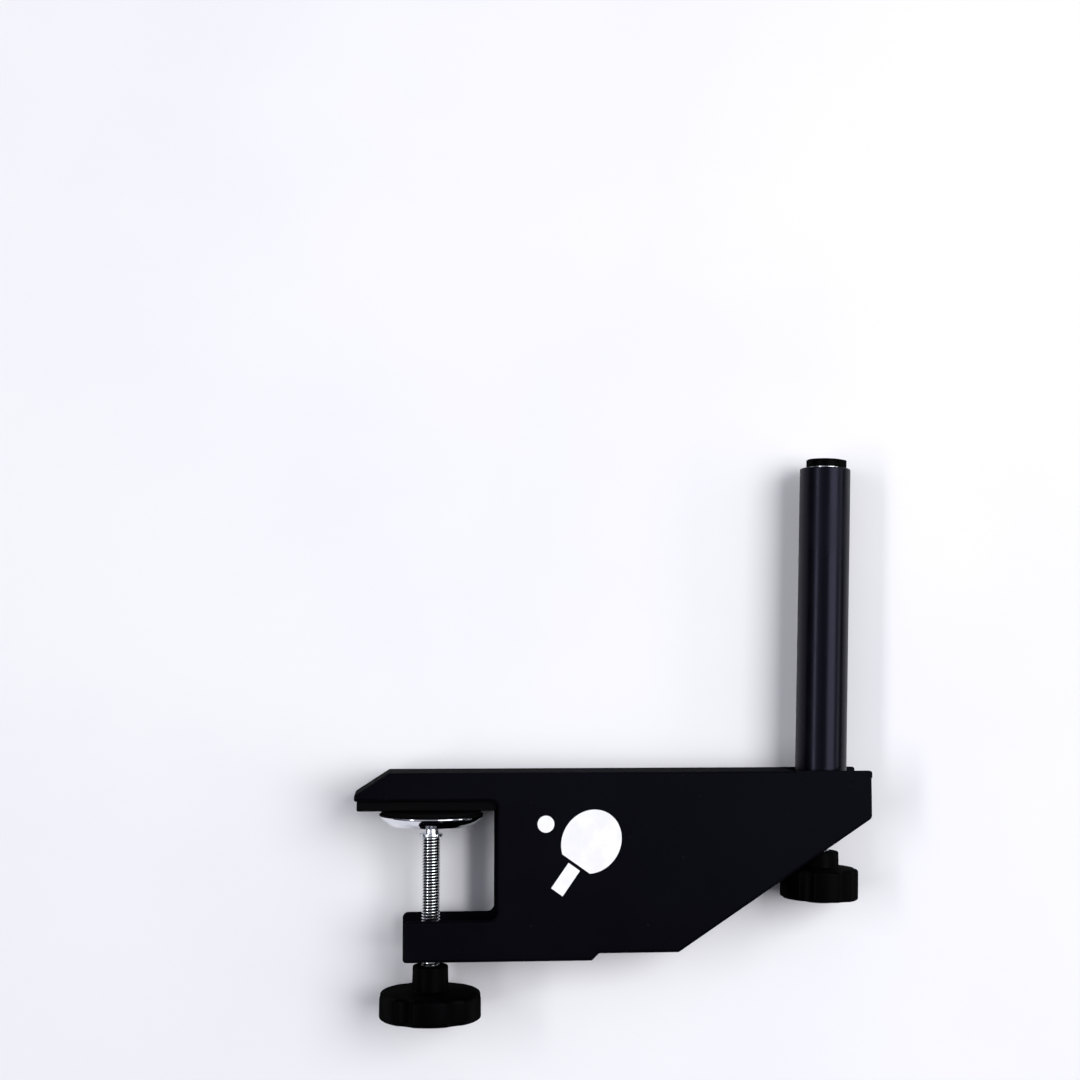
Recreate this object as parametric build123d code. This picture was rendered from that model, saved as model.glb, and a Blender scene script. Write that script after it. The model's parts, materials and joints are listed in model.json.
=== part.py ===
from build123d import *
import os
from math import atan2, cos, radians, sin, tan

# Table tennis net clamp. Millimetres, +Z up as in use, +X away from the table.
# Origin: underside of the jaw pad, on the clamp screw's axis.

os.makedirs("parts", exist_ok=True)

# Driving dimensions
sheet = 2.0                  # folded body sheet
bracket_sheet = 1.5          # brackets welded inside the body
post_diameter = 22.4
post_wall = 1.5
seat_depth = 0.2             # the post's lower end is turned down by this, radially
post_top = 149.9             # post rim above the table top
post_offset = 171.4          # clamp screw axis to post axis, at table height
post_lean = 1.62             # degrees the post stands away from the table
throat_height = 45.85        # jaw pad to top of the lower jaw
throat_depth = 28.0          # clamp screw axis to back of the throat
upper_jaw_reach = 33.0       # clamp screw axis to the nose
lower_jaw_reach = 12.0       # clamp screw axis to the lower jaw's end
body_reach = 190.8           # clamp screw axis to the outboard end
body_top = 16.4              # table top to the top of the body
pad_thickness = 4.3
lower_jaw_depth = 17.3       # top of the lower jaw to the bottom web
bottom_web_length = 80.3
slant_start = 105.6          # clamp screw axis to the start of the slant
end_height = 20.5            # height of the outboard end
screw_diameter = 8.0
disc_diameter = 45.0
clamp_knob_diameter = 44.4
height_knob_diameter = 34.0
cap_diameter = 16.8
slider_diameter = 16.4

# Named clearances
running = 0.05               # radial, anything that turns or slides in a hole
side_gap = 0.3               # post to the brackets' flanges
fitting_gap = 0.1            # jaw lining to the body, and the post's seat in its guide
disc_gap = 0.5               # rubber facing to the jaw pad
knob_gap = 3.25              # clamp knob hub to the bottom web
height_knob_gap = 2.4        # height knob hub below the slant
hole_gap = 0.5               # radial, screw through a plain hole

# Sizes that follow
post_radius = post_diameter / 2
screw_radius = screw_diameter / 2
body_width = post_diameter + 2 * (side_gap + bracket_sheet + sheet)
half_width = body_width / 2
inner_half = half_width - sheet
lower_jaw_top = -throat_height
bottom = lower_jaw_top - lower_jaw_depth
step_height = 1.5 * sheet
plate_bottom = bottom + step_height
slant_end = body_top - end_height
slant_run = body_reach - slant_start
slant_rise = slant_end - plate_bottom
nut_across_flats = 1.625 * screw_diameter
nut_height = 0.8 * screw_diameter
bend_radius = 0.75 * sheet
chamfer_rise = body_top - 1.6 * pad_thickness
chamfer_run = 1.55 * chamfer_rise
web_end = post_offset - post_radius - 3.2

# Post column, measured up its own axis from table height
slant_at_post = plate_bottom + slant_rise * (post_offset - slant_start) / slant_run
hub_top = slant_at_post - height_knob_gap
leg_top = slant_at_post + 6.5
leg_bottom = leg_top - bracket_sheet
guide_top = body_top - 1.5 * sheet
foot_bottom = leg_top + nut_height + 4.4
foot_flange = 10.0
cap_bottom = post_top + 0.5
cap_height = 3.5

column = Location((post_offset, 0, 0), (0, post_lean, 0))


def save(name, shape, where=Location()):
    placed = where * shape
    placed.label = name
    export_step(placed, f"parts/{name}.step")


def rounded_outline(corners):
    """Closed wire from (x, y, corner radius) points, in the order given."""
    count = len(corners)
    entries = []
    for index, (x, y, radius) in enumerate(corners):
        before = corners[index - 1]
        after = corners[(index + 1) % count]
        angle_in = atan2(before[1] - y, before[0] - x)
        angle_out = atan2(after[1] - y, after[0] - x)
        if radius == 0:
            entries.append([Vector(x, y)])
            continue
        half = abs((angle_out - angle_in + radians(180)) % radians(360) - radians(180)) / 2
        reach = radius / tan(half)
        first = Vector(x + reach * cos(angle_in), y + reach * sin(angle_in))
        last = Vector(x + reach * cos(angle_out), y + reach * sin(angle_out))
        towards = (first + last) * 0.5 - Vector(x, y)
        centre = Vector(x, y) + towards.normalized() * (radius / sin(half))
        middle = centre - towards.normalized() * radius
        entries.append([first, middle, last])
    edges = []
    for index, entry in enumerate(entries):
        if len(entry) == 3:
            edges.append(Edge.make_three_point_arc(*entry))
        edges.append(Edge.make_line(entry[-1], entries[(index + 1) % count][0]))
    return Wire(edges)


def side_slab(corners, half_thickness):
    """Solid with an outline in X and Z, symmetrical about the Y = 0 plane."""
    face = Plane.XZ * Face(rounded_outline(corners))
    return extrude(face, half_thickness, both=True)


def turned(profile):
    """Solid of revolution about Z from (radius, height) points."""
    outline = Plane.XZ * Face(Wire.make_polygon([(r, z, 0) for r, z in profile], close=True))
    return revolve(outline, Axis.Z)


def hexagon_bar(across_flats, low, high):
    shape = extrude(RegularPolygon(across_flats / 2, 6, major_radius=False), high - low)
    return Pos(0, 0, low) * Rot(0, 0, 30) * shape


def weld_nut(low):
    bar = hexagon_bar(nut_across_flats, low, low + nut_height)
    top_cone = turned([
        (0, low),
        (nut_across_flats * 0.62, low),
        (nut_across_flats * 0.62, low + nut_height * 0.86),
        (nut_across_flats * 0.49, low + nut_height),
        (0, low + nut_height),
    ])
    bore = Pos(0, 0, low + nut_height / 2) * Cylinder(screw_radius + running, 2 * nut_height)
    return bar & top_cone - bore


# Folded body: plates and webs from one outline
outline = [
    (-upper_jaw_reach, pad_thickness, 1.0),
    (-upper_jaw_reach, pad_thickness + 2.6, 1.2),
    (chamfer_run - upper_jaw_reach, body_top, 1.5),
    (body_reach, body_top, 1.0),
    (body_reach, slant_end, 2.5),
    (slant_start, plate_bottom, 1.5),
    (bottom_web_length - lower_jaw_reach + step_height, plate_bottom, 1.2),
    (bottom_web_length - lower_jaw_reach, bottom, 1.2),
    (-lower_jaw_reach, bottom, 1.5),
    (-lower_jaw_reach, lower_jaw_top, 2.5),
    (throat_depth, lower_jaw_top, 3.0),
    (throat_depth, pad_thickness, 3.0),
]
chamfer_slope = atan2(body_top - pad_thickness - 2.6, chamfer_run)
beyond = 20.0
inner_top = body_top - sheet
inner_corner_x = chamfer_run - upper_jaw_reach + sheet * tan(chamfer_slope / 2)
nose_drop = (inner_corner_x + upper_jaw_reach + beyond) * tan(chamfer_slope)
cavity = [
    (web_end, body_top + beyond, 0),
    (web_end, inner_top, 0),
    (inner_corner_x, inner_top, 0),
    (-upper_jaw_reach - beyond, inner_top - nose_drop, 0),
    (-upper_jaw_reach - beyond, bottom + sheet, 0),
    (bottom_web_length - lower_jaw_reach - 1.0, bottom + sheet, 0),
    (bottom_web_length - lower_jaw_reach - 1.0, bottom - beyond, 0),
    (body_reach + beyond, bottom - beyond, 0),
    (body_reach + beyond, body_top + beyond, 0),
]
slab = side_slab(outline, half_width)


def is_bend(edge):
    """Outer edges that are folds: along the top, the nose chamfer and the bottom web."""
    middle = edge @ 0.5
    if abs(abs(middle.Y) - half_width) > 0.01 or edge.geom_type != GeomType.LINE:
        return False
    on_top = abs(middle.Z - body_top) < 0.01
    on_bottom = abs(middle.Z - bottom) < 0.01
    on_chamfer = middle.Z > pad_thickness + 2.6 and middle.X < chamfer_run - upper_jaw_reach
    return on_top or on_bottom or on_chamfer


shell = fillet([edge for edge in slab.edges() if is_bend(edge)], bend_radius)
shell = shell - side_slab(cavity, inner_half)

# Beyond the web the plates have plain cut edges, so their top corners are square
strip_length = body_reach - web_end
strip = Box(strip_length, body_width, 2 * bend_radius)
strip = Pos(web_end + strip_length / 2, 0, body_top - bend_radius) * strip
gap_box = Pos(web_end, 0, 0) * Box(4 * body_reach, 2 * inner_half, 4 * body_reach)
shell = shell + ((slab & strip) - gap_box)

screw_hole = Pos(0, 0, bottom) * Cylinder(screw_radius + hole_gap, 4 * sheet)
shell = shell - screw_hole
save("frame_shell", shell)

# Jaw lining
pad_left = -upper_jaw_reach + 1.1
pad_right = throat_depth - 2 * fitting_gap
pad_length = pad_right - pad_left
pad_middle = (pad_left + pad_right) / 2
strip_top = pad_thickness + bracket_sheet
strip_left = inner_corner_x - (inner_top - strip_top) / tan(chamfer_slope)
strip_left = max(strip_left + fitting_gap, pad_left)
jaw_plate = Box(pad_right - strip_left, 2 * inner_half, bracket_sheet)
jaw_plate = Pos((pad_right + strip_left) / 2, 0, strip_top - bracket_sheet / 2) * jaw_plate
save("jaw_plate", jaw_plate)
jaw_pad = Box(pad_length, 2 * inner_half - sheet, pad_thickness)
jaw_pad = fillet(jaw_pad.edges().group_by(Axis.Z)[0], 0.6)
save("jaw_pad", Pos(pad_middle, 0, pad_thickness / 2) * jaw_pad)

# Clamp nut, welded on the bottom web
save("clamp_nut", weld_nut(bottom + sheet))

# Swivel disc, closed against the pad but for disc_gap
disc_radius = disc_diameter / 2
disc_top = -disc_gap
plate_top = disc_top - 2.1
dish_bottom = plate_top - 4.6
dish_sheet = 1.2
dish_floor = dish_bottom + dish_sheet
neck_radius = 0.4 * screw_diameter
save("dish_rubber", turned([
    (0, disc_top),
    (disc_radius - 1.1, disc_top),
    (disc_radius - 0.9, plate_top + 0.8),
    (disc_radius - 0.1, plate_top + 0.7),
    (disc_radius - 0.1, plate_top),
    (0, plate_top),
]))
save("thrust_plate", turned([
    (0, plate_top),
    (disc_radius - 1.3, plate_top),
    (disc_radius - 1.3, plate_top - 1.2),
    (0, plate_top - 1.2),
]))
save("clamp_dish", turned([
    (neck_radius + running, dish_bottom),
    (0.77 * disc_radius, dish_bottom),
    (0.81 * disc_radius, dish_bottom + 0.3),
    (0.92 * disc_radius, dish_bottom + 2.2),
    (disc_radius, dish_bottom + 4.0),
    (disc_radius, plate_top),
    (disc_radius - 1.3, plate_top),
    (disc_radius - 1.3, plate_top - 1.2),
    (0.92 * disc_radius - 1.1, dish_bottom + 2.7),
    (0.81 * disc_radius - 0.6, dish_floor + 0.2),
    (0.77 * disc_radius - 0.6, dish_floor),
    (neck_radius + running, dish_floor),
]))

# Clamp screw: swaged head in the dish, neck, thread, hex head in the knob
thread_top = dish_bottom - 4.6
clip_thickness = 1.3
clamp_hub_top = bottom - knob_gap
clamp_hub_height = 10.8
clamp_grip_height = 11.6
head_height = 0.65 * screw_diameter
cap_recess = 2.0
cap_rise = 2.0


def knob_levels(top, hub_height, grip_height):
    """Heights of a knob's hub top, grip top, grip bottom and the floor of its cap recess."""
    grip_top = top - hub_height
    grip_bottom = grip_top - grip_height
    return top, grip_top, grip_bottom, grip_bottom + cap_recess


def hex_head(recess):
    return hexagon_bar(nut_across_flats, recess, recess + head_height)


def knob(diameter, hub_radius, levels, shoulder):
    """Lobed knob with a hub, a screw bore, a pocket for the screw's head and a cap recess."""
    top, grip_top, grip_bottom, recess = levels
    height = top - grip_bottom
    radius = diameter / 2
    lower_edge = 0.75 * shoulder
    shape = turned([
        (0, top),
        (hub_radius - 0.5, top),
        (hub_radius, top - 0.5),
        (hub_radius + 0.2, grip_top),
        (radius - shoulder, grip_top),
        (radius - 0.3 * shoulder, grip_top - 0.3 * shoulder),
        (radius, grip_top - shoulder),
        (radius, grip_bottom + lower_edge),
        (radius - 0.3 * lower_edge, grip_bottom + 0.3 * lower_edge),
        (radius - lower_edge, grip_bottom),
        (0, grip_bottom),
    ])
    flute_radius = 0.22 * diameter
    flute_depth = 0.03 * diameter
    flute = Cylinder(flute_radius, 3 * height)
    for index in range(6):
        turn = Rot(0, 0, -62 + 60 * index)
        centre = Pos(radius - flute_depth + flute_radius, 0, grip_bottom)
        shape = shape - turn * centre * flute
    shape = shape - Pos(0, 0, top) * Cylinder(screw_radius, 4 * height)
    shape = shape - hex_head(recess)
    cap_pocket = Pos(0, 0, grip_bottom) * Cylinder(radius - 4.2, 2 * cap_recess)
    return shape - cap_pocket


def knob_cap(diameter, levels):
    grip_bottom = levels[2]
    recess = levels[3]
    radius = diameter / 2 - 4.2
    disc = Pos(0, 0, recess - cap_recess / 2) * Cylinder(radius, cap_recess)
    sphere_radius = (radius * radius + cap_rise * cap_rise) / (2 * cap_rise)
    ball = Pos(0, 0, grip_bottom - cap_rise + sphere_radius) * Sphere(sphere_radius)
    below = Pos(0, 0, grip_bottom - cap_rise) * Cylinder(radius, 2 * cap_rise)
    return disc + (ball & below)


clamp_levels = knob_levels(clamp_hub_top, clamp_hub_height, clamp_grip_height)
clamp_recess = clamp_levels[3]
clamp_screw = turned([
    (0, clamp_recess),
    (screw_radius, clamp_recess),
    (screw_radius, thread_top),
    (neck_radius, thread_top),
    (neck_radius, dish_floor + running),
    (2 * neck_radius - 0.8, dish_floor + running),
    (2 * neck_radius - 0.8, dish_floor + 1.2),
    (neck_radius + 1.0, plate_top - 1.2 - running),
    (0, plate_top - 1.2 - running),
])
save("clamp_screw", clamp_screw + hex_head(clamp_recess))
save("clamp_clip", turned([
    (neck_radius, thread_top),
    (screw_radius + 1.0, thread_top),
    (screw_radius + 1.0, thread_top + clip_thickness),
    (neck_radius, thread_top + clip_thickness),
]))
save("clamp_knob", knob(clamp_knob_diameter, 7.6, clamp_levels, 2.3))
save("clamp_knob_cap", knob_cap(clamp_knob_diameter, clamp_levels))


def bracket(left, right, face, flange_length, hole_radius, upward, end_radius):
    """Folded strip: a leg across the channel, with a flange along each side plate."""
    length = right - left
    middle = (left + right) / 2
    leg = Box(length, 2 * inner_half, bracket_sheet)
    leg = Pos(middle, 0, face + (bracket_sheet / 2 if upward else -bracket_sheet / 2)) * leg
    reach = flange_length if upward else -flange_length
    flange = Box(length, bracket_sheet, flange_length)
    sides = Pos(middle, inner_half - bracket_sheet / 2, face + reach / 2) * flange
    sides = sides + Pos(middle, bracket_sheet / 2 - inner_half, face + reach / 2) * flange
    shape = leg + sides
    folds = [
        e for e in shape.edges().filter_by(Axis.X)
        if abs(abs((e @ 0.5).Y) - inner_half) < 0.01 and abs((e @ 0.5).Z - face) < 0.01
    ]
    shape = fillet(folds, 0.8 * bracket_sheet)
    ends = [
        e for e in shape.edges().filter_by(Axis.Y)
        if abs((e @ 0.5).Z - face - reach) < 0.01
    ]
    shape = fillet(ends, end_radius)
    return shape - Pos(0, 0, face) * Cylinder(hole_radius, 4 * bracket_sheet)


# Brackets that hold the post, and the post itself
guide_reach = post_radius + 5.0
seat_radius = post_radius - seat_depth
save(
    "post_guide",
    bracket(-guide_reach, guide_reach, guide_top, 9.0, seat_radius + fitting_gap, False, 3.0),
    column,
)
save(
    "foot_bracket",
    bracket(-post_radius - 1.6, 7.4, leg_bottom, 9.0, screw_radius + hole_gap, True, 3.0),
    column,
)
save("height_nut", weld_nut(leg_top), column)

post_inner = post_radius - post_wall
save("post_tube", turned([
    (post_inner, leg_top),
    (seat_radius, leg_top),
    (seat_radius, guide_top + 0.5),
    (post_radius, guide_top + 0.5),
    (post_radius, post_top - 0.6),
    (post_radius - 0.2, post_top - 0.2),
    (post_radius - 0.6, post_top),
    (post_inner, post_top),
]), column)
slider_radius = slider_diameter / 2
save("post_bush", turned([
    (slider_radius + running, post_top - 15.0),
    (post_inner, post_top - 15.0),
    (post_inner, post_top),
    (slider_radius + running, post_top),
]), column)

# Slider inside the post: foot, tube and cap
slider_inner = slider_radius - 1.5
foot_top = foot_bottom + foot_flange
tip_radius = 0.375 * screw_diameter
tip_length = 0.5 * screw_diameter
save("slider_foot", turned([
    (tip_radius + running, foot_bottom),
    (post_inner - running, foot_bottom),
    (post_inner - running, foot_top),
    (slider_inner, foot_top),
    (slider_inner, foot_top + 9.0),
    (0, foot_top + 9.0),
    (0, foot_bottom + tip_length),
    (tip_radius + running, foot_bottom + tip_length),
]), column)
save("slider_tube", turned([
    (slider_inner, foot_top),
    (slider_radius, foot_top),
    (slider_radius, cap_bottom),
    (slider_inner, cap_bottom),
]), column)

cap_radius = cap_diameter / 2
cord_groove = 2.6
cap_top = cap_bottom + cap_height
lip_thickness = 1.0
lip_width = 13.4
lip_drop = 0.2
cap = turned([
    (0, cap_bottom - 8.0),
    (slider_inner, cap_bottom - 8.0),
    (slider_inner, cap_bottom),
    (cap_radius, cap_bottom),
    (cap_radius, cap_top - 0.2),
    (cap_radius - 0.2, cap_top),
    (0, cap_top),
])
lip_middle = Pos(0, 0, cap_bottom - lip_drop + cap_height / 2)
lip = lip_middle * Cylinder(cap_radius + lip_thickness, cap_height)
lip = lip & (lip_middle * Pos(cap_diameter / 2, 0, 0) * Box(cap_diameter, lip_width, cap_height))
lip = lip - Pos(0, 0, cap_bottom - 10.0) * Cylinder(cap_radius - 0.2, 20.0)
cap = cap + lip
groove = Box(2 * cap_diameter, cord_groove, 2 * (cap_height - 1.4))
groove = Pos(0, 0, cap_top) * groove
cord_notch = Pos(cap_radius + lip_thickness, 0, cap_top) * Cylinder(cord_groove / 2, 4 * cap_height)
cap = cap - groove - (cord_notch - Pos(0, 0, cap_top - 10.0) * Cylinder(cap_radius, 60.0))
save("post_cap", cap, column)

# Height screw: dog point in the foot, thread, hex head in the small knob
height_hub_height = 7.3
height_grip_height = 13.3
height_levels = knob_levels(hub_top, height_hub_height, height_grip_height)
height_recess = height_levels[3]
tip_top = foot_bottom + tip_length - running
height_screw = turned([
    (0, height_recess),
    (screw_radius, height_recess),
    (screw_radius, foot_bottom - 0.3),
    (tip_radius, foot_bottom - 0.3),
    (tip_radius, tip_top - 0.5),
    (tip_radius - 0.5, tip_top),
    (0, tip_top),
])
save("height_screw", height_screw + hex_head(height_recess), column)
save("height_knob", knob(height_knob_diameter, 8.2, height_levels, 1.3), column)
save("height_knob_cap", knob_cap(height_knob_diameter, height_levels), column)
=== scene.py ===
import json
import math

import bmesh
import bpy
from mathutils import Matrix, Vector


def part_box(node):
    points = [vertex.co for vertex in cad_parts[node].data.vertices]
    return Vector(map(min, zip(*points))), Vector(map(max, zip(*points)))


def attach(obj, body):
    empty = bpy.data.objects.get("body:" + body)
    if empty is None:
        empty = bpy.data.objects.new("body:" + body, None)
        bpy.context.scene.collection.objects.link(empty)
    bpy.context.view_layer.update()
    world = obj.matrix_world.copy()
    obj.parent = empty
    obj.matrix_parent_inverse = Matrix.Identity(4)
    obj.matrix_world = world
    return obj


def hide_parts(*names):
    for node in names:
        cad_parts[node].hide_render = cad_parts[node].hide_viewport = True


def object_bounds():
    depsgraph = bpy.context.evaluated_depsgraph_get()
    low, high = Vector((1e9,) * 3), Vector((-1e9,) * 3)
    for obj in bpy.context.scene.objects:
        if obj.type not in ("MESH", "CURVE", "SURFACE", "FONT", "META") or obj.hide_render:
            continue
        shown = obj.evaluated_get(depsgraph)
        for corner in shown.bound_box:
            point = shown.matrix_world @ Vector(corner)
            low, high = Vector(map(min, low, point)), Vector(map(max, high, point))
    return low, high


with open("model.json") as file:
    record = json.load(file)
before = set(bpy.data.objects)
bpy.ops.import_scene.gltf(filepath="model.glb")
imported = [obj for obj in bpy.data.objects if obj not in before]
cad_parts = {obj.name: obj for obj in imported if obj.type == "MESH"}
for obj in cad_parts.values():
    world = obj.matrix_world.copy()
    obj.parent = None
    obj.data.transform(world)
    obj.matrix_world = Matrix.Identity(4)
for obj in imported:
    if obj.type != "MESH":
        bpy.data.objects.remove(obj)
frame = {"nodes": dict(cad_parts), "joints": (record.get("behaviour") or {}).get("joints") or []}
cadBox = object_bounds()
mm = 0.001

# The post leans away from the table. Its axis is the one that the height knob turns on
columnJoint = next(joint for joint in frame["joints"] if joint["name"] == "height_turn")
columnAxis = Vector(columnJoint["axis"]).normalized()
columnPoint = Vector(columnJoint["pos_m"])
columnFoot = columnPoint - columnAxis * (columnPoint.z / columnAxis.z)  # where it meets table height
columnLean = math.atan2(columnAxis.x, columnAxis.z)
columnPlace = Matrix.Translation(columnFoot) @ Matrix.Rotation(columnLean, 4, "Y")
uprightPlace = Matrix.Identity(4)

cameraSetup = {
    "place": (-0.01267, -0.70972, 0.06207),
    "right": (0.99646, -0.08402, 0.00078),
    "up": (-0.00724, -0.07666, 0.99703),
    "forward": (0.08371, 0.99351, 0.07700),
    "lens": 54,
}


def addCamera(setup):
    data = bpy.data.cameras.new("camera")
    data.lens = setup["lens"]
    data.clip_end = 20
    camera = bpy.data.objects.new("camera", data)
    turn = Matrix((setup["right"], setup["up"], -Vector(setup["forward"]))).transposed()
    camera.matrix_world = Matrix.Translation(setup["place"]) @ turn.to_4x4()
    bpy.context.scene.collection.objects.link(camera)
    bpy.context.scene.camera = camera


addCamera(cameraSetup)
print("camera placed")


def link(tree, fromSocket, toSocket):
    tree.links.new(fromSocket, toSocket)


def mathNode(tree, operation, first, second=None):
    node = tree.nodes.new("ShaderNodeMath")
    node.operation = operation
    for socket, value in zip(node.inputs, (first, second)):
        if isinstance(value, (int, float)):
            socket.default_value = value
        elif value is not None:
            link(tree, value, socket)
    return node.outputs[0]


def rangeNode(tree, value, low, high, newLow, newHigh):
    node = tree.nodes.new("ShaderNodeMapRange")
    node.interpolation_type = "SMOOTHSTEP"
    link(tree, value, node.inputs["Value"])
    for name, number in (("From Min", low), ("From Max", high), ("To Min", newLow), ("To Max", newHigh)):
        node.inputs[name].default_value = number
    return node.outputs["Result"]


def mixColour(tree, factor, first, second):
    node = tree.nodes.new("ShaderNodeMix")
    node.data_type = "RGBA"
    link(tree, factor, node.inputs[0])
    for socket, value in ((node.inputs[6], first), (node.inputs[7], second)):
        if isinstance(value, tuple):
            socket.default_value = (*value, 1)
        else:
            link(tree, value, socket)
    return node.outputs[2]


def addBump(tree, height, distance):
    node = tree.nodes.new("ShaderNodeBump")
    node.inputs["Strength"].default_value = 1.0
    node.inputs["Distance"].default_value = distance
    link(tree, height, node.inputs["Height"])
    return node.outputs["Normal"]


def noiseNode(tree, vector, scale, detail):
    node = tree.nodes.new("ShaderNodeTexNoise")
    node.inputs["Detail"].default_value = detail
    link(tree, vector, node.inputs["Vector"])
    link(tree, scale, node.inputs["Scale"])
    return node.outputs["Fac"]


grazingShine = {"from": 0.35, "to": 0.75}  # how far a surface turns away before its shine fades


def softenGrazing(tree, roughness, most):  # a coat loses its shine where it is seen along its surface
    facing = tree.nodes.new("ShaderNodeLayerWeight").outputs["Facing"]
    share = rangeNode(tree, facing, grazingShine["from"], grazingShine["to"], 0.0, 1.0)
    lift = mathNode(tree, "MULTIPLY", share, most)
    return mathNode(tree, "MINIMUM", mathNode(tree, "ADD", roughness, lift), 1.0)


finishTexture = {
    "grainShares": (0.65, 0.35),  # of the coarse and the fine grain
    "fineGrain": 2.7,  # times as fine as the coarse grain
    "patchEdge": (0.3, 0.7),
    "speckEdge": (0.04, 0.14),
    "speckChance": (0.80, 0.95),  # only a few cells hold a speck
}


def makeFinishGroup(texture):  # fine grain for bumps, broad patches for colour and gloss, scattered dust
    tree = bpy.data.node_groups.new("finishDetail", "ShaderNodeTree")
    for name, value in (("Grain Scale", 1500.0), ("Patch Scale", 35.0), ("Dust Scale", 420.0)):
        socket = tree.interface.new_socket(name=name, in_out="INPUT", socket_type="NodeSocketFloat")
        socket.default_value = value
    for name in ("Grain", "Patch", "Dust"):
        tree.interface.new_socket(name=name, in_out="OUTPUT", socket_type="NodeSocketFloat")
    entry = tree.nodes.new("NodeGroupInput")
    result = tree.nodes.new("NodeGroupOutput")
    place = tree.nodes.new("ShaderNodeTexCoord").outputs["Object"]

    coarse = noiseNode(tree, place, entry.outputs["Grain Scale"], 2.0)
    fineScale = mathNode(tree, "MULTIPLY", entry.outputs["Grain Scale"], texture["fineGrain"])
    fine = noiseNode(tree, place, fineScale, 3.0)
    coarsePart = mathNode(tree, "MULTIPLY", coarse, texture["grainShares"][0])
    finePart = mathNode(tree, "MULTIPLY", fine, texture["grainShares"][1])
    link(tree, mathNode(tree, "ADD", coarsePart, finePart), result.inputs["Grain"])

    patch = noiseNode(tree, place, entry.outputs["Patch Scale"], 4.0)
    link(tree, rangeNode(tree, patch, *texture["patchEdge"], 0.0, 1.0), result.inputs["Patch"])

    cells = tree.nodes.new("ShaderNodeTexVoronoi")
    link(tree, place, cells.inputs["Vector"])
    link(tree, entry.outputs["Dust Scale"], cells.inputs["Scale"])
    speck = rangeNode(tree, cells.outputs["Distance"], *texture["speckEdge"], 1.0, 0.0)
    parts = tree.nodes.new("ShaderNodeSeparateColor")
    link(tree, cells.outputs["Color"], parts.inputs[0])
    chosen = rangeNode(tree, parts.outputs[0], *texture["speckChance"], 0.0, 1.0)
    link(tree, mathNode(tree, "MULTIPLY", speck, chosen), result.inputs["Dust"])
    return tree


finishGroup = makeFinishGroup(finishTexture)


def newMaterial(name, grainScale, patchScale, dustScale):
    material = bpy.data.materials.new(name)
    material.use_nodes = True
    tree = material.node_tree
    detail = tree.nodes.new("ShaderNodeGroup")
    detail.node_tree = finishGroup
    detail.inputs["Grain Scale"].default_value = grainScale
    detail.inputs["Patch Scale"].default_value = patchScale
    detail.inputs["Dust Scale"].default_value = dustScale
    return material, tree, tree.nodes["Principled BSDF"], detail.outputs


def patchyRoughness(tree, detail, finish):
    low, high = finish["roughness"]
    return rangeNode(tree, detail["Patch"], 0.0, 1.0, low, high)


def makeDarkCoat(name, finish, extraHeight=None):  # patchy colour, specks of dust, soft shine, fine grain
    material, tree, shader, detail = newMaterial(name, *finish["scales"])
    colour = mixColour(tree, detail["Patch"], finish["dark"], finish["light"])
    dustShare = mathNode(tree, "MULTIPLY", detail["Dust"], finish["dustShare"])
    link(tree, mixColour(tree, dustShare, colour, finish["dust"]), shader.inputs["Base Color"])
    shader.inputs["Specular IOR Level"].default_value = finish["gloss"]
    shader.inputs["Specular Tint"].default_value = finish["tint"]
    roughness = softenGrazing(tree, patchyRoughness(tree, detail, finish), finish["grazing"])
    link(tree, roughness, shader.inputs["Roughness"])
    height = detail["Grain"]
    if extraHeight:
        height = mathNode(tree, "ADD", height, extraHeight(tree))
    link(tree, addBump(tree, height, finish["grainDepth"] * mm), shader.inputs["Normal"])
    return material


def makePlating(name, finish, paintedShade=None):  # bright metal, slightly patchy in colour and in gloss
    material, tree, shader, detail = newMaterial(name, *finish["scales"])
    shader.inputs["Metallic"].default_value = 1.0
    colour = mixColour(tree, detail["Patch"], finish["pale"], finish["grey"])
    # optionally mixes painted shade into the colour where the given mask is high
    if paintedShade:
        colour = mixColour(tree, paintedShade(tree), colour, finish["grooveShadeColour"])
    link(tree, colour, shader.inputs["Base Color"])
    link(tree, patchyRoughness(tree, detail, finish), shader.inputs["Roughness"])
    link(tree, addBump(tree, detail["Grain"], finish["grainDepth"] * mm), shader.inputs["Normal"])
    return material


powderCoat = {
    "scales": (1300, 22, 260),  # of the grain, the patches and the dust
    "dark": (0.0010, 0.0010, 0.0016),
    "light": (0.0019, 0.0019, 0.0030),
    "dust": (0.014, 0.014, 0.020),
    "dustShare": 0.5,
    "roughness": (0.44, 0.54),
    "grazing": 0.5,  # roughness added where the coat is seen along its surface
    "gloss": 0.035,
    "tint": (0.60, 0.60, 1.0, 1.0),
    "grainDepth": 0.030,
}
weldMarks = {
    "places": ((159.3, 11.5), (181.1, 10.9)),  # along and up the side plates
    "radius": 1.9,
    "strength": 0.8,
    "dentDepth": 2.2,
    "dentFloor": 0.45,  # share of the radius
    "rimFoot": 1.5,
}


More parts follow.
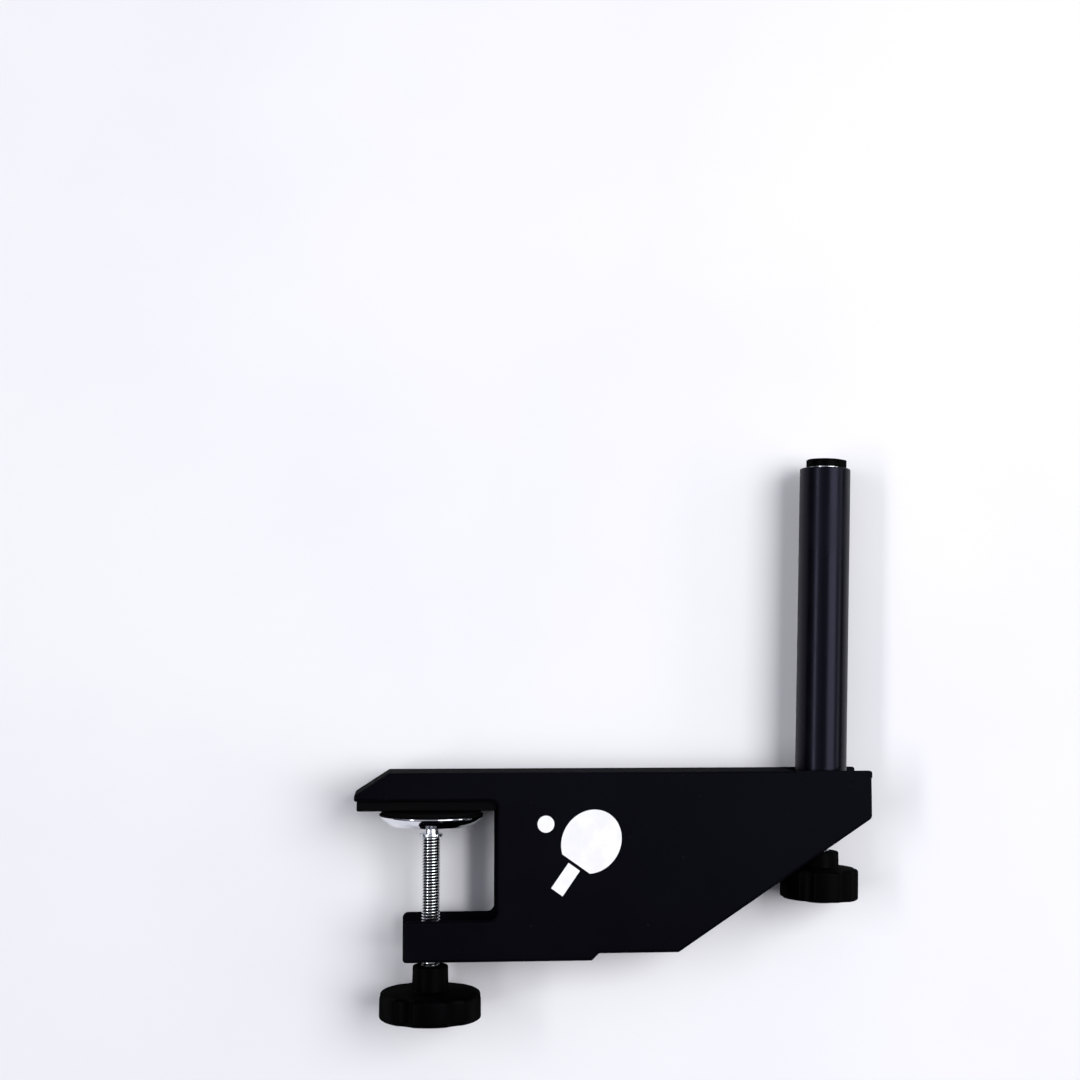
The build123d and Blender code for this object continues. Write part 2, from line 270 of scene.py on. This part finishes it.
def weldMarkHeight(tree):  # a shallow round dent with a raised rim at each spot weld
    place = tree.nodes.new("ShaderNodeTexCoord").outputs["Object"]
    flatten = tree.nodes.new("ShaderNodeVectorMath")
    flatten.operation = "MULTIPLY"
    flatten.inputs[1].default_value = (1, 0, 1)
    link(tree, place, flatten.inputs[0])
    radius = weldMarks["radius"] * mm
    total = None
    for across, up in weldMarks["places"]:
        reach = tree.nodes.new("ShaderNodeVectorMath")
        reach.operation = "DISTANCE"
        link(tree, flatten.outputs[0], reach.inputs[0])
        reach.inputs[1].default_value = (across * mm, 0, up * mm)
        away = reach.outputs["Value"]
        rim = rangeNode(tree, away, radius, radius * weldMarks["rimFoot"], 1.0, 0.0)
        dent = rangeNode(tree, away, radius * weldMarks["dentFloor"], radius, weldMarks["dentDepth"], 0.0)
        mark = mathNode(tree, "SUBTRACT", rim, dent)
        total = mark if total is None else mathNode(tree, "ADD", total, mark)
    return mathNode(tree, "MULTIPLY", total, weldMarks["strength"])


postPaint = {
    "scales": (1600, 30, 300),
    "dark": (0.0008, 0.0008, 0.0015),
    "light": (0.0015, 0.0015, 0.0028),
    "dust": (0.012, 0.012, 0.017),
    "dustShare": 0.35,
    "roughness": (0.24, 0.31),
    "grazing": 0.1,
    "gloss": 0.13,
    "tint": (0.65, 0.65, 1.0, 1.0),
    "grainDepth": 0.012,
}
mouldedPlastic = {
    "scales": (3200, 60, 520),
    "dark": (0.0003, 0.0003, 0.0004),
    "light": (0.0008, 0.0008, 0.0011),
    "dust": (0.010, 0.010, 0.012),
    "dustShare": 0.5,
    "roughness": (0.36, 0.46),
    "grazing": 0.5,
    "gloss": 0.014,
    "tint": (1.0, 1.0, 1.0, 1.0),
    "grainDepth": 0.020,
}
rubberFinish = {
    "scales": (2200, 90, 480),
    "dark": (0.0006, 0.0006, 0.0008),
    "light": (0.0013, 0.0013, 0.0017),
    "dust": (0.010, 0.010, 0.011),
    "dustShare": 0.6,
    "roughness": (0.62, 0.78),
    "grazing": 0.3,
    "gloss": 0.04,
    "tint": (1.0, 1.0, 1.0, 1.0),
    "grainDepth": 0.035,
}

zincPlate = {
    "scales": (2600, 70, 900),
    "pale": (0.78, 0.80, 0.81),
    "grey": (0.64, 0.68, 0.72),
    # painted shade in the clamp screw's thread grooves: its colour, then where it lies
    "grooveShadeColour": (0.030, 0.032, 0.036),
    "grooveShadeRadius": (3.45, 3.97),  # full at the first distance from the screw's axis, none at the second
    "grooveShadeTop": (-12.1, -11.9),  # full below the first height, none above the second
    "roughness": (0.16, 0.26),
    "grainDepth": 0.0014,
}


def paintedGrooveShade(tree):  # painted shade low in the clamp screw's thread grooves, kept off the plain neck above it
    split = tree.nodes.new("ShaderNodeSeparateXYZ")
    link(tree, tree.nodes.new("ShaderNodeTexCoord").outputs["Object"], split.inputs[0])
    acrossSquare = mathNode(tree, "POWER", split.outputs["X"], 2.0)
    alongSquare = mathNode(tree, "POWER", split.outputs["Y"], 2.0)
    radius = mathNode(tree, "SQRT", mathNode(tree, "ADD", acrossSquare, alongSquare))
    inner, outer = zincPlate["grooveShadeRadius"]
    below, above = zincPlate["grooveShadeTop"]
    deep = rangeNode(tree, radius, inner * mm, outer * mm, 1.0, 0.0)
    threaded = rangeNode(tree, split.outputs["Z"], below * mm, above * mm, 1.0, 0.0)
    return mathNode(tree, "MULTIPLY", deep, threaded)


chromePlate = {
    "scales": (1800, 120, 700),
    "pale": (0.80, 0.81, 0.83),
    "grey": (0.70, 0.72, 0.76),
    "roughness": (0.04, 0.08),
    "grainDepth": 0.0006,
}

printInk = {
    "scales": (1500, 150, 700),
    "pale": (0.90, 0.90, 0.91),
    "grey": (0.82, 0.82, 0.84),
    "dust": (0.30, 0.30, 0.33),
    "dustShare": 0.6,
    "roughness": (0.45, 0.60),
    "grainDepth": 0.010,
}


def makePrintInk(finish):
    material, tree, shader, detail = newMaterial("printInk", *finish["scales"])
    colour = mixColour(tree, detail["Patch"], finish["pale"], finish["grey"])
    dustShare = mathNode(tree, "MULTIPLY", detail["Dust"], finish["dustShare"])
    link(tree, mixColour(tree, dustShare, colour, finish["dust"]), shader.inputs["Base Color"])
    link(tree, patchyRoughness(tree, detail, finish), shader.inputs["Roughness"])
    link(tree, addBump(tree, detail["Grain"], finish["grainDepth"] * mm), shader.inputs["Normal"])
    return material


powderCoatMaterial = makeDarkCoat("powderCoat", powderCoat, weldMarkHeight)
postPaintMaterial = makeDarkCoat("postPaint", postPaint)
plasticMaterial = makeDarkCoat("mouldedPlastic", mouldedPlastic)
rubberMaterial = makeDarkCoat("rubberFinish", rubberFinish)
# zinc with painted shade in the clamp screw's thread grooves
zincMaterial = makePlating("zincPlate", zincPlate, paintedGrooveShade)
chromeMaterial = makePlating("chromePlate", chromePlate)
inkMaterial = makePrintInk(printInk)
print("materials made")


sharpAngle = {"shaded": 50, "rounded": 40}  # an edge past these degrees is shaded sharp, or rounded


def sharpEdges(bm, degrees):
    limit = math.radians(degrees)
    return [edge for edge in bm.edges if len(edge.link_faces) == 2 and edge.calc_face_angle() > limit]


def finishPiece(name, bm, material, body, nodes=(), place=uprightPlace):
    bmesh.ops.transform(bm, matrix=place, verts=bm.verts)
    for face in bm.faces:
        face.smooth = True
    for edge in sharpEdges(bm, sharpAngle["shaded"]):
        edge.smooth = False
    mesh = bpy.data.meshes.new(name)
    bm.to_mesh(mesh)
    bm.free()
    mesh.materials.append(material)
    piece = bpy.data.objects.new(name, mesh)
    bpy.context.scene.collection.objects.link(piece)
    weighted = piece.modifiers.new("weightedNormals", "WEIGHTED_NORMAL")
    weighted.keep_sharp = True
    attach(piece, body)
    if nodes:
        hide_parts(*nodes)


def pointOutwards(bm):
    bmesh.ops.remove_doubles(bm, verts=bm.verts, dist=0.0005 * mm)
    bmesh.ops.recalc_face_normals(bm, faces=bm.faces)


def turnedShape(profile, loop=False, steps=96):  # a profile point is its radius, height and rounding
    bm = bmesh.new()
    points = [bm.verts.new((corner[0] * mm, 0, corner[1] * mm)) for corner in profile]
    for first, second in zip(points, points[1:]):
        bm.edges.new((first, second))
    if loop:
        bm.edges.new((points[-1], points[0]))
    roundings = [corner[2] for corner in profile]
    for point, rounding in zip(points, roundings):
        if rounding:
            bmesh.ops.bevel(
                bm, geom=[point], offset=rounding * mm, offset_type="OFFSET", affect="VERTICES",
                segments=4, profile=0.5, material=-1,
            )
    bmesh.ops.spin(
        bm, geom=bm.verts[:] + bm.edges[:], cent=(0, 0, 0), axis=(0, 0, 1),
        angle=2 * math.pi, steps=steps, use_merge=True,
    )
    pointOutwards(bm)
    return bm


def softenedCopy(node, edgeWidth, segments=2):  # a CAD node's own shape with its sharp edges rounded
    bm = bmesh.new()
    bm.from_mesh(frame["nodes"][node].data)
    bmesh.ops.remove_doubles(bm, verts=bm.verts, dist=0.002 * mm)
    bmesh.ops.dissolve_limit(
        bm, angle_limit=math.radians(0.5), verts=bm.verts, edges=bm.edges, delimit={"NORMAL"},
    )
    bmesh.ops.bevel(
        bm, geom=sharpEdges(bm, sharpAngle["rounded"]), offset=edgeWidth * mm, offset_type="OFFSET",
        affect="EDGES", segments=segments, profile=0.5, material=-1, clamp_overlap=True,
    )
    bmesh.ops.recalc_face_normals(bm, faces=bm.faces)
    return bm


bodyShape = {"edgeWidth": 0.3, "edgeSegments": 3}


def makeBody(shape):
    bm = softenedCopy("frame_shell", shape["edgeWidth"], shape["edgeSegments"])
    finishPiece("clampBody", bm, powderCoatMaterial, "frame", ["frame_shell"])


makeBody(bodyShape)
print("body made")

jawLining = {"edgeWidth": 0.5}


def makeJawLining(shape):
    bm = softenedCopy("jaw_pad", shape["edgeWidth"])
    finishPiece("jawPad", bm, rubberMaterial, "frame", ["jaw_pad"])


makeJawLining(jawLining)
print("jaw lining made")

# A plain pictogram on the near side plate: a bat and a ball
printedMark = {
    "middle": (68.0, -13.0),
    "turn": 35,  # degrees from upright
    "bladeRadius": 12.5,
    "bladeStretch": 1.12,
    "bladeTrim": 0.82,  # share of the blade's half length where the handle begins
    "edgeGap": 1.4,
    "handleWidth": 6.0,
    "handleLength": 13.0,
    "ballRadius": 3.6,
    "ballOffset": (-19.5, 7.5),
    "thickness": 0.03,
}


def addRoundPlate(bm, radius, stretch, thickness):
    made = bmesh.ops.create_cone(
        bm, cap_ends=True, segments=96, radius1=radius * mm, radius2=radius * mm, depth=thickness * mm,
    )["verts"]
    bmesh.ops.scale(bm, vec=(1, stretch, 1), verts=made)
    bmesh.ops.rotate(bm, cent=(0, 0, 0), matrix=Matrix.Rotation(math.pi / 2, 3, "X"), verts=made)
    return made


def makePrintedMark(mark):
    bm = bmesh.new()
    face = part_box("frame_shell")[0].y - mark["thickness"] * mm / 2
    across, up = mark["middle"]
    trim = mark["bladeTrim"] * (mark["bladeRadius"] * mark["bladeStretch"])
    addRoundPlate(bm, mark["bladeRadius"], mark["bladeStretch"], mark["thickness"])
    cut = bmesh.ops.bisect_plane(  # the blade is trimmed square where the handle meets it
        bm, geom=bm.verts[:] + bm.edges[:] + bm.faces[:], plane_co=(0, 0, -trim * mm),
        plane_no=(0, 0, -1), clear_outer=True,
    )
    rim = [part for part in cut["geom_cut"] if isinstance(part, bmesh.types.BMEdge)]
    bmesh.ops.holes_fill(bm, edges=rim, sides=0)
    bat = bm.verts[:]
    handle = bmesh.ops.create_cube(bm, size=1.0)["verts"]
    size = (mark["handleWidth"] * mm, mark["thickness"] * mm, mark["handleLength"] * mm)
    bmesh.ops.scale(bm, vec=size, verts=handle)
    drop = trim + mark["edgeGap"] + mark["handleLength"] / 2
    bmesh.ops.translate(bm, vec=(0, 0, -drop * mm), verts=handle)
    turn = Matrix.Rotation(math.radians(mark["turn"]), 3, "Y")
    bmesh.ops.rotate(bm, cent=(0, 0, 0), matrix=turn, verts=bat + handle)
    ballAcross, ballUp = mark["ballOffset"]
    ball = addRoundPlate(bm, mark["ballRadius"], 1.0, mark["thickness"])
    bmesh.ops.translate(bm, vec=(ballAcross * mm, 0, ballUp * mm), verts=ball)
    bmesh.ops.translate(bm, vec=(across * mm, face, up * mm), verts=bm.verts)
    bmesh.ops.recalc_face_normals(bm, faces=bm.faces)
    finishPiece("printedMark", bm, inkMaterial, "frame")


makePrintedMark(printedMark)
print("printed mark made")

discShape = {
    "dishBottom": -7.2,
    "dishRim": -2.6,
    "radius": 22.5,
    "wall": 1.2,
    "hole": 3.3,
    "rubberTop": -0.5,
    "flatShare": 0.77,  # shares of the radius: flat bottom, its rounded edge, foot of the steep wall
    "bendShare": 0.81,
    "wallShare": 0.92,
}


def makeDisc(shape):
    low = shape["dishBottom"]
    rim = shape["dishRim"]
    wide = shape["radius"]
    wall = shape["wall"]
    flat = shape["flatShare"] * wide
    bend = shape["bendShare"] * wide
    wallFoot = shape["wallShare"] * wide
    dish = turnedShape([
        (shape["hole"], low, 0.3),
        (flat, low, 0.6),
        (bend, low + 0.3, 0.4),
        (wallFoot, low + 2.2, 1.2),
        (wide, low + 4.0, 0.25),
        (wide, rim, 0.25),
        (wide - 1.3, rim, 0.2),
        (wide - 1.3, rim - wall, 0.2),
        (wallFoot - 1.1, low + 2.7, 0.8),
        (bend - 0.6, low + wall + 0.2, 0.3),
        (flat - 0.6, low + wall, 0.3),
        (shape["hole"], low + wall, 0.3),
    ], loop=True, steps=144)
    finishPiece("swivelDish", dish, chromeMaterial, "disc", ["clamp_dish"])
    top = shape["rubberTop"]
    facing = turnedShape([
        (0, top, 0),
        (wide - 1.1, top, 0.35),
        (wide - 0.9, rim + 0.8, 0.15),
        (wide - 0.1, rim + 0.7, 0.3),
        (wide - 0.1, rim, 0.2),
        (0, rim, 0),
    ], steps=144)
    finishPiece("discFacing", facing, rubberMaterial, "disc", ["dish_rubber"])


makeDisc(discShape)
print("swivel disc made")

threadForm = {"radius": 4.0, "depth": 0.78, "pitch": 1.25, "stepsPerTurn": 40}
hexHead = {"acrossFlats": 13.0, "edgeWidth": 0.3}


def mergeInto(bm, other):
    mesh = bpy.data.meshes.new("joined")
    other.to_mesh(mesh)
    other.free()
    bm.from_mesh(mesh)
    bpy.data.meshes.remove(mesh)


def addThread(bm, form, low, high):  # one groove's outline, wound up the rod and trimmed to length
    crest = form["radius"]
    root = crest - form["depth"]
    pitch = form["pitch"]
    outline = [(crest, 0), (crest, 0.22), (root, 0.56), (root, 0.66), (crest, 1)]
    turns = math.ceil((high - low) / pitch) + 2
    thread = bmesh.new()
    start = low - pitch
    points = [thread.verts.new((radius * mm, 0, (start + rise * pitch) * mm)) for radius, rise in outline]
    for first, second in zip(points, points[1:]):
        thread.edges.new((first, second))
    steps = form["stepsPerTurn"]
    bmesh.ops.spin(
        thread, geom=thread.verts[:] + thread.edges[:], cent=(0, 0, 0), axis=(0, 0, 1),
        dvec=(0, 0, pitch * mm / steps), angle=2 * math.pi * turns, steps=steps * turns,
    )
    bmesh.ops.remove_doubles(thread, verts=thread.verts, dist=0.001 * mm)
    for level, side in ((low, -1), (high, 1)):
        bmesh.ops.bisect_plane(
            thread, geom=thread.verts[:] + thread.edges[:] + thread.faces[:],
            plane_co=(0, 0, level * mm), plane_no=(0, 0, side), clear_outer=True,
        )
    edges = [edge for edge in thread.edges if edge.is_boundary]
    bmesh.ops.holes_fill(thread, edges=edges, sides=0)
    bmesh.ops.recalc_face_normals(thread, faces=thread.faces)
    mergeInto(bm, thread)


def addHexHead(bm, head, low, high):
    corner = head["acrossFlats"] / math.sqrt(3)
    prism = bmesh.new()
    bmesh.ops.create_cone(
        prism, cap_ends=True, segments=6, radius1=corner * mm, radius2=corner * mm,
        depth=(high - low) * mm,
    )
    bmesh.ops.bevel(
        prism, geom=prism.edges[:], offset=head["edgeWidth"] * mm, offset_type="OFFSET", affect="EDGES",
        segments=2, profile=0.5, material=-1,
    )
    bmesh.ops.translate(prism, vec=(0, 0, (low + high) / 2 * mm), verts=prism.verts)
    mergeInto(bm, prism)


clampScrew = {
    "threadLow": -86.0,
    "threadTop": -11.8,
    "neckRadius": 3.2,
    "headLow": -5.95,
    "headTop": -3.85,
    "headRadius": 5.6,
    "taper": (3.6, 3.3),  # its radii where the thread runs out under the neck
    "hexLow": -86.8,
    "hexHigh": -81.6,
}


def makeClampScrew(screw):
    bm = turnedShape([
        (0, screw["threadTop"] - 1.0, 0),
        (screw["taper"][0], screw["threadTop"] - 1.0, 0),
        (screw["taper"][1], screw["threadTop"] + 0.1, 0.15),
        (screw["neckRadius"], screw["threadTop"] + 0.1, 0),
        (screw["neckRadius"], screw["headLow"], 0),
        (screw["headRadius"], screw["headLow"], 0.2),
        (screw["headRadius"], screw["headLow"] + 1.2, 0.4),
        (screw["headRadius"] - 1.4, screw["headTop"], 0.4),
        (0, screw["headTop"], 0),
    ], steps=64)
    addThread(bm, threadForm, screw["threadLow"], screw["threadTop"])
    addHexHead(bm, hexHead, screw["hexLow"], screw["hexHigh"])
    finishPiece("clampScrew", bm, zincMaterial, "clamp_screw", ["clamp_screw"])


makeClampScrew(clampScrew)

clipShape = {"inner": 3.2, "outer": 5.0, "low": -11.8, "high": -10.5}


def makeClip(clip):
    bm = turnedShape([
        (clip["inner"], clip["low"], 0.15),
        (clip["outer"], clip["low"], 0.25),
        (clip["outer"], clip["high"], 0.25),
        (clip["inner"], clip["high"], 0.15),
    ], loop=True, steps=64)
    finishPiece("screwClip", bm, zincMaterial, "clamp_screw", ["clamp_clip"])


makeClip(clipShape)
print("clamp screw made")

knobStyle = {
    "flutes": 6,
    "firstFlute": -62,  # degrees round from +X
    "fluteRadius": 0.22,  # shares of the knob's diameter
    "fluteDepth": 0.03,
    "pressedRim": 4.0,  # how far in from the edge the flutes press
    "capInset": 4.2,
    "capRecess": 2.0,
    "capRise": 2.0,
}
clampKnob = {
    "diameter": 44.4,
    "top": -66.4,
    "hubRadius": 7.6,
    "hubHeight": 10.8,
    "gripHeight": 11.6,
    "shoulder": 2.3,
}
heightKnob = {
    "diameter": 34.0,
    "top": -19.26,
    "hubRadius": 8.2,
    "hubHeight": 7.3,
    "gripHeight": 13.3,
    "shoulder": 1.3,
}


def knobLevels(knob):
    gripTop = knob["top"] - knob["hubHeight"]
    gripBottom = gripTop - knob["gripHeight"]
    return gripTop, gripBottom, knob["diameter"] / 2 - knobStyle["capInset"]


def pressFlutes(bm, diameter):  # draws the rim in along each flute, more the nearer it is to the edge
    rim = diameter / 2
    inner = rim - knobStyle["pressedRim"]
    fluteRadius = knobStyle["fluteRadius"] * diameter
    middle = rim - knobStyle["fluteDepth"] * diameter + fluteRadius
    step = 2 * math.pi / knobStyle["flutes"]
    for vert in bm.verts:
        radius = math.hypot(vert.co.x, vert.co.y) / mm
        if radius <= inner:
            continue
        turn = math.atan2(vert.co.y, vert.co.x) - math.radians(knobStyle["firstFlute"])
        turn = (turn + step / 2) % step - step / 2
        across = middle * math.sin(turn)
        if abs(across) >= fluteRadius:
            continue
        limit = middle * math.cos(turn) - math.sqrt(fluteRadius ** 2 - across ** 2)
        share = (radius - inner) / (rim - inner)
        newRadius = radius - max(rim - limit, 0) * share
        vert.co.x *= newRadius / radius
        vert.co.y *= newRadius / radius


def makeKnob(name, knob, body, nodes, place):  # the fluted grip with its hub, then the domed cap under it
    gripTop, gripBottom, capRadius = knobLevels(knob)
    rim = knob["diameter"] / 2
    seat = gripBottom + knobStyle["capRecess"]
    bm = turnedShape([
        (0, knob["top"], 0),
        (knob["hubRadius"], knob["top"], 0.7),
        (knob["hubRadius"] + 0.25, gripTop + 0.1, 0.9),
        (rim - 0.1, gripTop, 1.1 * knob["shoulder"]),
        (rim, gripBottom, 0.8 * knob["shoulder"]),
        (capRadius + 0.1, gripBottom, 0.3),
        (capRadius + 0.1, seat, 0),
        (0, seat, 0),
    ], steps=216)
    pressFlutes(bm, knob["diameter"])
    finishPiece(name, bm, plasticMaterial, body, [nodes[0]], place)
    rise = knobStyle["capRise"]
    steps = 6
    dome = [(0, gripBottom - rise, 0)]
    for index in range(1, steps):
        share = index / steps
        dome.append((capRadius * share, gripBottom - rise * (1 - share * share), 0))
    dome += [(capRadius, gripBottom, 0.3), (capRadius, seat, 0), (0, seat, 0)]
    cap = turnedShape(dome)
    finishPiece(name + "Cap", cap, plasticMaterial, body, [nodes[1]], place)


makeKnob("clampKnob", clampKnob, "clamp_screw", ["clamp_knob", "clamp_knob_cap"], uprightPlace)
makeKnob("heightKnob", heightKnob, "height_screw", ["height_knob", "height_knob_cap"], columnPlace)
print("knobs made")

postShape = {
    "radius": 11.2,
    "inner": 9.7,
    "seatRadius": 11.0,
    "foot": -10.36,
    "seatTop": 13.9,
    "top": 149.9,
    "bushInner": 8.25,
    "bushLength": 15,
    "bushDrop": 0.2,
}


def makePost(post):
    tube = turnedShape([
        (post["inner"], post["foot"], 0),
        (post["seatRadius"], post["foot"], 0.2),
        (post["seatRadius"], post["seatTop"], 0),
        (post["radius"], post["seatTop"], 0.1),
        (post["radius"], post["top"], 0.6),
        (post["inner"], post["top"], 0.25),
    ], loop=True, steps=128)
    finishPiece("postTube", tube, postPaintMaterial, "frame", ["post_tube"], columnPlace)
    bushLow = post["top"] - post["bushLength"]
    bushTop = post["top"] - post["bushDrop"]
    bush = turnedShape([
        (post["bushInner"], bushLow, 0.2),
        (post["inner"], bushLow, 0),
        (post["inner"], bushTop, 0),
        (post["bushInner"], bushTop, 0.3),
    ], loop=True)
    finishPiece("postBush", bush, plasticMaterial, "frame", ["post_bush"], columnPlace)


makePost(postShape)

sliderShape = {"inner": 6.7, "radius": 8.2, "foot": 10.44, "top": 150.4, "capEdge": 0.25}


def makeSlider(slider):
    tube = turnedShape([
        (slider["inner"], slider["foot"], 0),
        (slider["radius"], slider["foot"], 0),
        (slider["radius"], slider["top"], 0),
        (slider["inner"], slider["top"], 0),
    ], loop=True)
    finishPiece("sliderTube", tube, zincMaterial, "slider", ["slider_tube"], columnPlace)
    cap = softenedCopy("post_cap", slider["capEdge"])
    finishPiece("postCap", cap, plasticMaterial, "slider", ["post_cap"])


makeSlider(sliderShape)
print("post made")

heightScrew = {
    "threadLow": -37.8,
    "threadTop": 0.1,
    "tipRadius": 3.0,
    "tipTop": 4.38,
    "hexLow": -37.86,
    "hexHigh": -32.76,
}


def makeHeightScrew(screw):
    bm = turnedShape([
        (0, screw["threadTop"] - 0.6, 0),
        (screw["tipRadius"], screw["threadTop"] - 0.6, 0),
        (screw["tipRadius"], screw["tipTop"], 0.5),
        (0, screw["tipTop"], 0),
    ], steps=48)
    addThread(bm, threadForm, screw["threadLow"], screw["threadTop"])
    addHexHead(bm, hexHead, screw["hexLow"], screw["hexHigh"])
    finishPiece("heightScrew", bm, zincMaterial, "height_screw", ["height_screw"], columnPlace)


makeHeightScrew(heightScrew)
print("height screw made")

# Small parts that keep their own shape with softer edges
bracketSet = {"edgeWidth": 0.2, "pieces": {"post_guide": "postGuide", "foot_bracket": "footBracket"}}
nutSet = {"edgeWidth": 0.15, "pieces": {"clamp_nut": "clampNut", "height_nut": "heightNut"}}


def makeSmallParts(group, material):
    for node, name in group["pieces"].items():
        finishPiece(name, softenedCopy(node, group["edgeWidth"]), material, "frame", [node])


makeSmallParts(bracketSet, powderCoatMaterial)
makeSmallParts(nutSet, zincMaterial)

# Hidden parts that keep the frame's own mesh
plainFinishes = {
    "jaw_plate": powderCoatMaterial,
    "thrust_plate": zincMaterial,
    "slider_foot": plasticMaterial,
}
for node, material in plainFinishes.items():
    for materialSlot in frame["nodes"][node].material_slots:
        materialSlot.material = material
print("brackets and nuts made")

backdropShape = {
    "gap": 0.2,  # between it and the disc
    "size": 1.8,  # metres
    "pale": (0.86, 0.86, 0.88),
    "grey": (0.83, 0.83, 0.86),
    "roughness": 0.8,
    "scales": (800, 6, 150),
}


def makeBackdrop(backdrop):  # the pale surface that the clamp lies on, seen only from its front
    discRadius = discShape["radius"] + backdrop["gap"]
    knobRadius = heightKnob["diameter"] / 2
    tilt = math.asin((discRadius - knobRadius) * mm / columnPoint.x)  # it meets the disc and small knob
    material, tree, shader, detail = newMaterial("paleSurface", *backdrop["scales"])
    colour = mixColour(tree, detail["Patch"], backdrop["pale"], backdrop["grey"])
    link(tree, colour, shader.inputs["Base Color"])
    shader.inputs["Roughness"].default_value = backdrop["roughness"]
    output = tree.nodes["Material Output"]
    clear = tree.nodes.new("ShaderNodeBsdfTransparent")
    mix = tree.nodes.new("ShaderNodeMixShader")
    link(tree, tree.nodes.new("ShaderNodeNewGeometry").outputs["Backfacing"], mix.inputs["Fac"])
    link(tree, shader.outputs[0], mix.inputs[1])
    link(tree, clear.outputs[0], mix.inputs[2])
    link(tree, mix.outputs[0], output.inputs["Surface"])
    bm = bmesh.new()
    bmesh.ops.create_grid(bm, x_segments=1, y_segments=1, size=backdrop["size"] / 2)
    bmesh.ops.rotate(bm, cent=(0, 0, 0), matrix=Matrix.Rotation(math.pi / 2, 3, "X"), verts=bm.verts)
    bmesh.ops.translate(bm, vec=(0, discRadius * mm, 0), verts=bm.verts)
    bmesh.ops.rotate(bm, cent=(0, 0, 0), matrix=Matrix.Rotation(-tilt, 3, "Z"), verts=bm.verts)
    mesh = bpy.data.meshes.new("paleSurface")
    bm.to_mesh(mesh)
    bm.free()
    mesh.materials.append(material)
    surface = bpy.data.objects.new("paleSurface", mesh)
    bpy.context.scene.collection.objects.link(surface)


makeBackdrop(backdropShape)

lights = {  # places and sizes in metres, power in watts
    "rightSoftbox": {"place": (1.05, -1.75, 0.35), "size": (1.2, 1.4), "power": 29},
    "rightStrip": {"place": (1.75, -0.75, 0.10), "size": (0.30, 1.6), "power": 5},
    "leftStrip": {"place": (-1.45, -1.50, 0.10), "size": (0.25, 1.6), "power": 14},
    "topSoftbox": {"place": (0.10, -1.45, 1.50), "size": (1.8, 0.8), "power": 2},
}


def addLights():
    target = (cadBox[0] + cadBox[1]) / 2
    for name, setup in lights.items():
        data = bpy.data.lights.new(name, "AREA")
        data.shape = "RECTANGLE"
        data.size, data.size_y = setup["size"]
        data.energy = setup["power"]
        light = bpy.data.objects.new(name, data)
        place = Vector(setup["place"])
        turn = (target - place).to_track_quat("-Z", "Y")
        light.matrix_world = Matrix.Translation(place) @ turn.to_matrix().to_4x4()
        bpy.context.scene.collection.objects.link(light)


addLights()

surroundings = {
    "seen": (0.90, 0.90, 0.92),
    "low": (0.004, 0.004, 0.005),
    "level": (0.92, 0.91, 1.02),
    "middle": (0.50, 0.50, 0.56),
    "sides": (0.05, 0.05, 0.07),
    "high": (0.30, 0.30, 0.38),
    "middleAt": 0.08,
    "middleFade": (0.25, 0.60),  # each fade runs over this stretch of the view direction
    "lowFade": (-0.42, -0.06),
    "highFade": (0.25, 0.60),
    "frontFade": (-0.75, -0.25),
}


# The camera sees a pale surround. As light it is dark below and brightest level with the clamp
def makeWorld(setup):
    world = bpy.data.worlds.new("studio")
    bpy.context.scene.world = world
    world.use_nodes = True
    tree = world.node_tree
    output = tree.nodes["World Output"]
    split = tree.nodes.new("ShaderNodeSeparateXYZ")
    link(tree, tree.nodes.new("ShaderNodeTexCoord").outputs["Generated"], split.inputs[0])
    height = split.outputs["Z"]
    offMiddle = mathNode(tree, "SUBTRACT", split.outputs["X"], setup["middleAt"])
    aside = mathNode(tree, "ABSOLUTE", offMiddle)
    sideShare = rangeNode(tree, aside, *setup["middleFade"], 0.0, 1.0)
    level = mixColour(tree, sideShare, setup["middle"], setup["level"])
    levelShare = rangeNode(tree, height, *setup["lowFade"], 0.0, 1.0)
    lower = mixColour(tree, levelShare, setup["low"], level)
    highShare = rangeNode(tree, height, *setup["highFade"], 0.0, 1.0)
    colour = mixColour(tree, highShare, lower, setup["high"])
    front = rangeNode(tree, split.outputs["Y"], *setup["frontFade"], 1.0, 0.0)  # bright only in front
    fill = tree.nodes["Background"]
    link(tree, mixColour(tree, front, setup["sides"], colour), fill.inputs["Color"])
    seen = tree.nodes.new("ShaderNodeBackground")
    seen.inputs["Color"].default_value = (*setup["seen"], 1)
    mix = tree.nodes.new("ShaderNodeMixShader")
    link(tree, tree.nodes.new("ShaderNodeLightPath").outputs["Is Camera Ray"], mix.inputs["Fac"])
    link(tree, fill.outputs[0], mix.inputs[1])
    link(tree, seen.outputs[0], mix.inputs[2])
    link(tree, mix.outputs[0], output.inputs["Surface"])


makeWorld(surroundings)
bpy.context.scene.view_settings.view_transform = "Standard"  # a plain display, so white stays white
print("stage and lights made")
